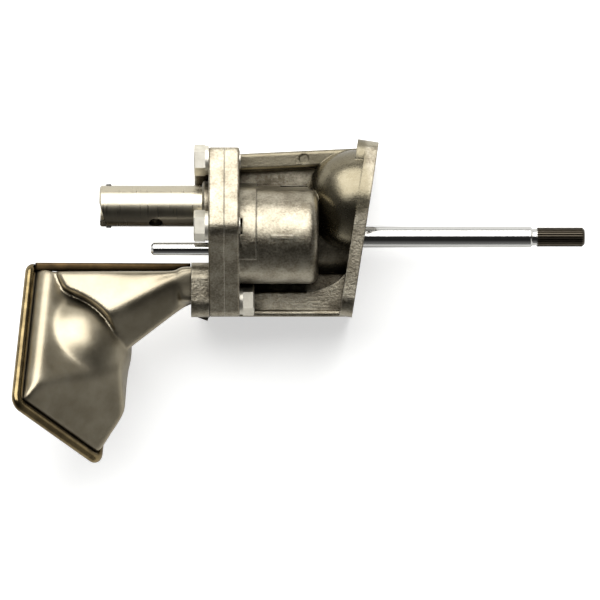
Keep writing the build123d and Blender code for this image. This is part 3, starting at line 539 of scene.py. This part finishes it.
def drawn_sheet():
    """Drawn sheet steel, oiled: satin, warm grey, with faint clouds about 18 mm wide, a fine grain drawn
    0.8 mm wide, and painted shade, dark, where other surfaces are near."""
    made, tree, shader = new_material("drawn_sheet_steel")
    place = add(tree, "ShaderNodeTexCoord").outputs["Object"]
    cloud = add(tree, "ShaderNodeTexNoise", [("Vector", place)], Scale=1 / 0.018, Detail=5.0,
                Roughness=0.6)
    tone = add(tree, "ShaderNodeValToRGB", [("Fac", cloud.outputs["Fac"])])
    tone.color_ramp.elements[0].position = 0.3
    tone.color_ramp.elements[0].color = linear("#918772")
    tone.color_ramp.elements[1].position = 0.7
    tone.color_ramp.elements[1].color = linear("#AFA691")
    grain = add(tree, "ShaderNodeTexNoise", [("Vector", place)], Scale=1 / 0.0008, Detail=2.0)
    bump = add(tree, "ShaderNodeBump", [("Height", grain.outputs["Fac"])], Strength=0.3, Distance=0.00008)
    rough = add(tree, "ShaderNodeMapRange", [("Value", cloud.outputs["Fac"])], From_Min=0.3, From_Max=0.7,
                To_Min=0.30, To_Max=0.42)
    near = add(tree, "ShaderNodeAmbientOcclusion", samples=8, Distance=0.006)
    # Painted shade: the colour darkens where other surfaces are near.
    crease_shade_mask = add(tree, "ShaderNodeMapRange", [("Value", near.outputs["AO"])], From_Min=0.35, From_Max=0.78,
                 To_Min=0.9, To_Max=0.0)
    near_shaded = add(tree, "ShaderNodeMix", [(0, crease_shade_mask.outputs["Result"]), (6, tone.outputs["Color"])],
               data_type="RGBA")
    near_shaded.inputs[7].default_value = linear("#1F1A12")
    tree.links.new(near_shaded.outputs[2], shader.inputs["Base Color"])
    tree.links.new(rough.outputs["Result"], shader.inputs["Roughness"])
    tree.links.new(bump.outputs["Normal"], shader.inputs["Normal"])
    shader.inputs["Metallic"].default_value = 1.0
    return made


sheet = drawn_sheet()
skin_points, skin_faces = skin(hood_field, skin_low, skin_high, skin_step)
face_middle = skin_points[skin_faces].mean(axis=1)
open_mouth = (face_middle - mouth_centre) @ mouth_in < mouth_cut
open_root = face_middle[:, 0] > root_cut_x
skin_faces = skin_faces[~open_mouth & ~open_root]
used_points, skin_faces = np.unique(skin_faces, return_inverse=True)
hood = new_piece("hood_skin", skin_points[used_points], skin_faces.reshape(-1, 4), sheet)
wall = hood.modifiers.new("sheet", "SOLIDIFY")
wall.thickness = sheet_thickness * mm
wall.offset = -1
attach(hood, "housing")
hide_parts("pickup_hood")


# ---------------------------------------------------------------- rim bead and arm seam
# The hood's edge is rolled round the strainer into a bead 5.8 mm wide and 4.8 mm thick, and the two
# halves of the arm are folded together in a seam 4.2 mm wide along its upper side.

bead_half_wide, bead_half_thick = 2.9, 2.4
bead_half_long, bead_half_across, bead_corner = 38.1, 30.1, 3.6
corner_steps = 13
seam_half_wide, seam_half_thick = 2.1, 1.5
seam_squareness = 0.6    # 1 is an ellipse, and less is squarer
seam_rows = 60
seam_ends = np.array([[-157.0, -14.4, 13.6], [-82.9, -14.7, 14.0]])


def oiled_and_shaded_edge(name, dark, pale, gloss):
    """Folded edge of the sheet: patches of old oil about 7 mm wide, and painted shade, black, where it
    meets the sheet.
    """
    made, tree, shader = new_material(name)
    place = add(tree, "ShaderNodeTexCoord").outputs["Object"]
    stain = add(tree, "ShaderNodeTexNoise", [("Vector", place)], Scale=1 / 0.007, Detail=3.0,
                Roughness=0.5)
    tone = add(tree, "ShaderNodeValToRGB", [("Fac", stain.outputs["Fac"])])
    tone.color_ramp.elements[0].position = 0.3
    tone.color_ramp.elements[0].color = linear(dark)
    tone.color_ramp.elements[1].position = 0.7
    tone.color_ramp.elements[1].color = linear(pale)
    near = add(tree, "ShaderNodeAmbientOcclusion", samples=8, Distance=0.004)
    # Painted shade: black where the edge meets the sheet.
    fold_shade_mask = add(tree, "ShaderNodeMapRange", [("Value", near.outputs["AO"])], From_Min=0.55, From_Max=0.92,
               To_Min=1.0, To_Max=0.0)
    near_shaded = add(tree, "ShaderNodeMix", [(0, fold_shade_mask.outputs["Result"]), (6, tone.outputs["Color"])],
               data_type="RGBA")
    near_shaded.inputs[7].default_value = linear("#15110B")
    tree.links.new(near_shaded.outputs[2], shader.inputs["Base Color"])
    shader.inputs["Metallic"].default_value = 1.0
    shader.inputs["Roughness"].default_value = gloss
    return made


def sweep(path, outward, inward, profile):
    """Tube of a closed profile along a closed path: each path point, plus the profile's first measure
    along its outward direction and the second along the inward one."""
    count, ring = len(path), len(profile)
    points = path[:, None] + outward[:, None] * profile[None, :, :1] + inward * profile[None, :, 1:]
    i, j = np.meshgrid(np.arange(count), np.arange(ring), indexing="ij")
    i2, j2 = (i + 1) % count, (j + 1) % ring
    faces = np.stack([i * ring + j, i2 * ring + j, i2 * ring + j2, i * ring + j2], axis=-1)
    return points.reshape(-1, 3), faces.reshape(-1, 4)


def round_corners(half_long, half_wide, corner, steps):
    """Rounded rectangle: four quarter circles joined by straight runs, with the outward direction."""
    turn_at = np.radians(np.linspace(0, 90, steps))
    spots, ways = [], []
    for quarter, (sx, sy) in enumerate(((1, 1), (-1, 1), (-1, -1), (1, -1))):
        angle = turn_at + quarter * np.pi / 2
        way = np.stack([np.cos(angle), np.sin(angle)], axis=-1)
        spots.append(way * corner + np.array([sx * (half_long - corner), sy * (half_wide - corner)]))
        ways.append(way)
    return np.concatenate(spots), np.concatenate(ways)


edge_steel = oiled_and_shaded_edge("rolled_edge_oiled", "#5E5139", "#8F7E5A", 0.2)
around = np.radians(np.arange(0, 360, 7.5))
bead_profile = np.stack([bead_half_wide * np.cos(around), bead_half_thick * np.sin(around)], axis=-1)
spots, ways = round_corners(bead_half_long, bead_half_across, bead_corner, corner_steps)
mouth_axes = np.stack([mouth_long, mouth_wide])
bead_points, bead_faces = sweep(mouth_centre + spots @ mouth_axes, ways @ mouth_axes, mouth_in,
                                bead_profile)
bead = new_piece("rim_bead", bead_points, bead_faces, edge_steel)
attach(bead, "housing")
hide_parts("strainer_rim")

# The seam's section is a squared ellipse: cosine and sine, each raised to a power below 1.
share = np.linspace(0, 1, seam_rows)[:, None]
seam_path = seam_ends[0] * (1 - share) + seam_ends[1] * share
lobes = np.radians(np.arange(0, 360, 10.0))
seam_profile = np.stack([
    seam_half_wide * np.sign(np.cos(lobes)) * np.abs(np.cos(lobes)) ** seam_squareness,
    seam_half_thick * np.sign(np.sin(lobes)) * np.abs(np.sin(lobes)) ** seam_squareness,
], axis=-1)
seam_points = (seam_path[:, None] + np.array([0, 1, 0]) * seam_profile[None, :, :1]
               + np.array([0, 0, 1]) * seam_profile[None, :, 1:]).reshape(-1, 3)
seam_faces, seam_tips = tube_faces(seam_rows, len(lobes))
# The seam gets darker colours than the bead.
seam_steel = oiled_and_shaded_edge("folded_seam_oiled", "#3A2F20", "#5C4A30", 0.45)
seam = new_piece("arm_seam", seam_points, seam_faces, seam_steel, seam_tips)
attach(seam, "housing")


# ---------------------------------------------------------------- strainer gauze
# Plain weave of 0.54 mm galvanised steel wire, held in the bead across the mouth. It is dull grey, with
# dark oil in patches about 4 mm wide. Its pitch of 2.4 mm is drawn coarser than a real strainer's.

gauze_pitch = 2.4
gauze_wire_radius = 0.27
gauze_wave = 0.3           # how far a wire rises and dips
steps_per_pitch = 6
warp_half_run, warp_half_spread = 37.0, 28.8
weft_half_run, weft_half_spread = 29.0, 36.0
wire_sides = 6


def wires(half_run, half_spread):
    """Points along one set of wires: straight in plan, and waved by a cosine over and under the other
    set, whose wires are one pitch apart."""
    places = np.arange(-half_spread, half_spread + 0.01, gauze_pitch)
    run = np.linspace(-half_run, half_run, int(half_run * 2 / gauze_pitch * steps_per_pitch) + 1)
    flip = np.where(np.arange(len(places)) % 2 == 0, 1.0, -1.0)
    lift = gauze_wave * flip[:, None] * np.cos(np.pi * run[None] / gauze_pitch)
    return np.broadcast_to(run[None], lift.shape), np.broadcast_to(places[:, None], lift.shape), lift


def wire_tubes(centre, up):
    """Six-sided tubes round rows of centre points: each centre, plus the wire's radius times the cosine
    along the side and the sine along the top. Up is square to the plane of the weave."""
    rows, steps, _ = centre.shape
    ahead = np.gradient(centre, axis=1)
    ahead /= np.linalg.norm(ahead, axis=-1, keepdims=True)
    side = np.cross(ahead, up)
    side /= np.linalg.norm(side, axis=-1, keepdims=True)
    top = np.cross(side, ahead)
    angle = np.radians(np.arange(wire_sides) * 360 / wire_sides)
    ring = centre[:, :, None] + gauze_wire_radius * (side[:, :, None] * np.cos(angle)[:, None]
                                                     + top[:, :, None] * np.sin(angle)[:, None])
    row, step, face = np.meshgrid(np.arange(rows), np.arange(steps - 1), np.arange(wire_sides),
                                  indexing="ij")
    here = (row * steps + step) * wire_sides
    ahead_ring = here + wire_sides
    after = (face + 1) % wire_sides
    faces = np.stack([here + face, here + after, ahead_ring + after, ahead_ring + face], axis=-1)
    first = np.arange(rows)[:, None] * steps * wire_sides + np.arange(wire_sides)
    tips = np.concatenate([first, first + (steps - 1) * wire_sides])
    return ring.reshape(-1, 3), faces.reshape(-1, 4), tips


galvanised = mottled_metal("woven_steel_wire", 0.004, 4.0, "#6B665C", "#A8A498", 0.35)
run, spread, lift = (part[..., None] for part in wires(warp_half_run, warp_half_spread))
warp = mouth_centre + run * mouth_long + spread * mouth_wide + lift * mouth_in
run, spread, lift = (part[..., None] for part in wires(weft_half_run, weft_half_spread))
weft = mouth_centre + run * mouth_wide + spread * mouth_long - lift * mouth_in
warp_points, warp_faces, warp_tips = wire_tubes(warp, mouth_in)
weft_points, weft_faces, weft_tips = wire_tubes(weft, mouth_in)
gauze = new_piece("wire_gauze", np.concatenate([warp_points, weft_points]),
                  np.concatenate([warp_faces, weft_faces + len(warp_points)]), galvanised,
                  np.concatenate([warp_tips, weft_tips + len(warp_points)]).tolist())
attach(gauze, "housing")
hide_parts("strainer_gauze")


# ---------------------------------------------------------------- bench, lamp and camera
# A pale paper bench 6 m wide under the pump, one large soft lamp beyond it, and a dim room that is
# darkest overhead. The camera looks straight down on the bench.

bench_half_width = 3.0
bench_gap = 0.0002    # keeps the pump's lowest face out of the bench
seen_glow = 0.55      # whitens the bench for the camera, and lights nothing
mirrored_glow = 0.1   # and for reflections in the metal

bench_z = cad_box[0][2] - bench_gap
corners = bench_half_width * np.array([(-1, -1, 0), (1, -1, 0), (1, 1, 0), (-1, 1, 0)]) + (0, 0, bench_z)
bench_mesh = bpy.data.meshes.new("bench")
bench_mesh.from_pydata(corners.tolist(), [], [(0, 1, 2, 3)])
bench = bpy.data.objects.new("bench", bench_mesh)
bpy.context.collection.objects.link(bench)
paper, tree, shader = new_material("white_paper")
shader.inputs["Base Color"].default_value = linear("#F4F4F2")
shader.inputs["Roughness"].default_value = 0.9
path = add(tree, "ShaderNodeLightPath")
shown = add(tree, "ShaderNodeMath", [(0, path.outputs["Is Camera Ray"])], operation="MULTIPLY")
shown.inputs[1].default_value = seen_glow
glow = add(tree, "ShaderNodeMath", [(0, path.outputs["Is Glossy Ray"]), (2, shown.outputs["Value"])],
           operation="MULTIPLY_ADD")
glow.inputs[1].default_value = mirrored_glow
shader.inputs["Emission Color"].default_value = linear("#FFFFFF")
tree.links.new(glow.outputs["Value"], shader.inputs["Emission Strength"])
bench_mesh.materials.append(paper)


def soft_lamp(name, place, aim, width, height, power):
    """A rectangular soft lamp at a place, turned to face a point. Lengths are in metres, and the power
    in watts."""
    data = bpy.data.lights.new(name, "AREA")
    data.shape = "RECTANGLE"
    data.size = width
    data.size_y = height
    data.energy = power
    lamp = bpy.data.objects.new(name, data)
    lamp.location = place
    lamp.rotation_euler = (Vector(aim) - Vector(place)).to_track_quat("-Z", "Y").to_euler()
    bpy.context.collection.objects.link(lamp)


soft_lamp("window", place=(-0.32, 1.33, 1.49), aim=(-0.03, -0.03, 0.0), width=2.3, height=2.5, power=80)

world = bpy.data.worlds.new("studio")
world.use_nodes = True
bpy.context.scene.world = world
sky = world.node_tree
toward = add(sky, "ShaderNodeTexCoord").outputs["Generated"]
upward = add(sky, "ShaderNodeSeparateXYZ", [("Vector", toward)])
shade = add(sky, "ShaderNodeMapRange", [("Value", upward.outputs["Z"])], From_Min=0.0, From_Max=0.8,
            To_Min=0.32, To_Max=0.025)
seen = add(sky, "ShaderNodeLightPath").outputs["Is Camera Ray"]
level = add(sky, "ShaderNodeMix", [("Factor", seen), ("A", shade.outputs["Result"])], B=1.0)
sky.links.new(level.outputs["Result"], sky.nodes["Background"].inputs["Strength"])
sky.nodes["Background"].inputs["Color"].default_value = linear("#FFFFFF")

camera_data = bpy.data.cameras.new("camera")
camera_data.sensor_width = 36
camera_data.lens = 375
camera_data.clip_end = 20
camera = bpy.data.objects.new("camera", camera_data)
camera.location = (-0.0306, -0.0302, 3.0)
camera.rotation_euler = (0, 0, 0)
bpy.context.collection.objects.link(camera)
bpy.context.scene.camera = camera
bpy.context.scene.view_settings.view_transform = "Standard"
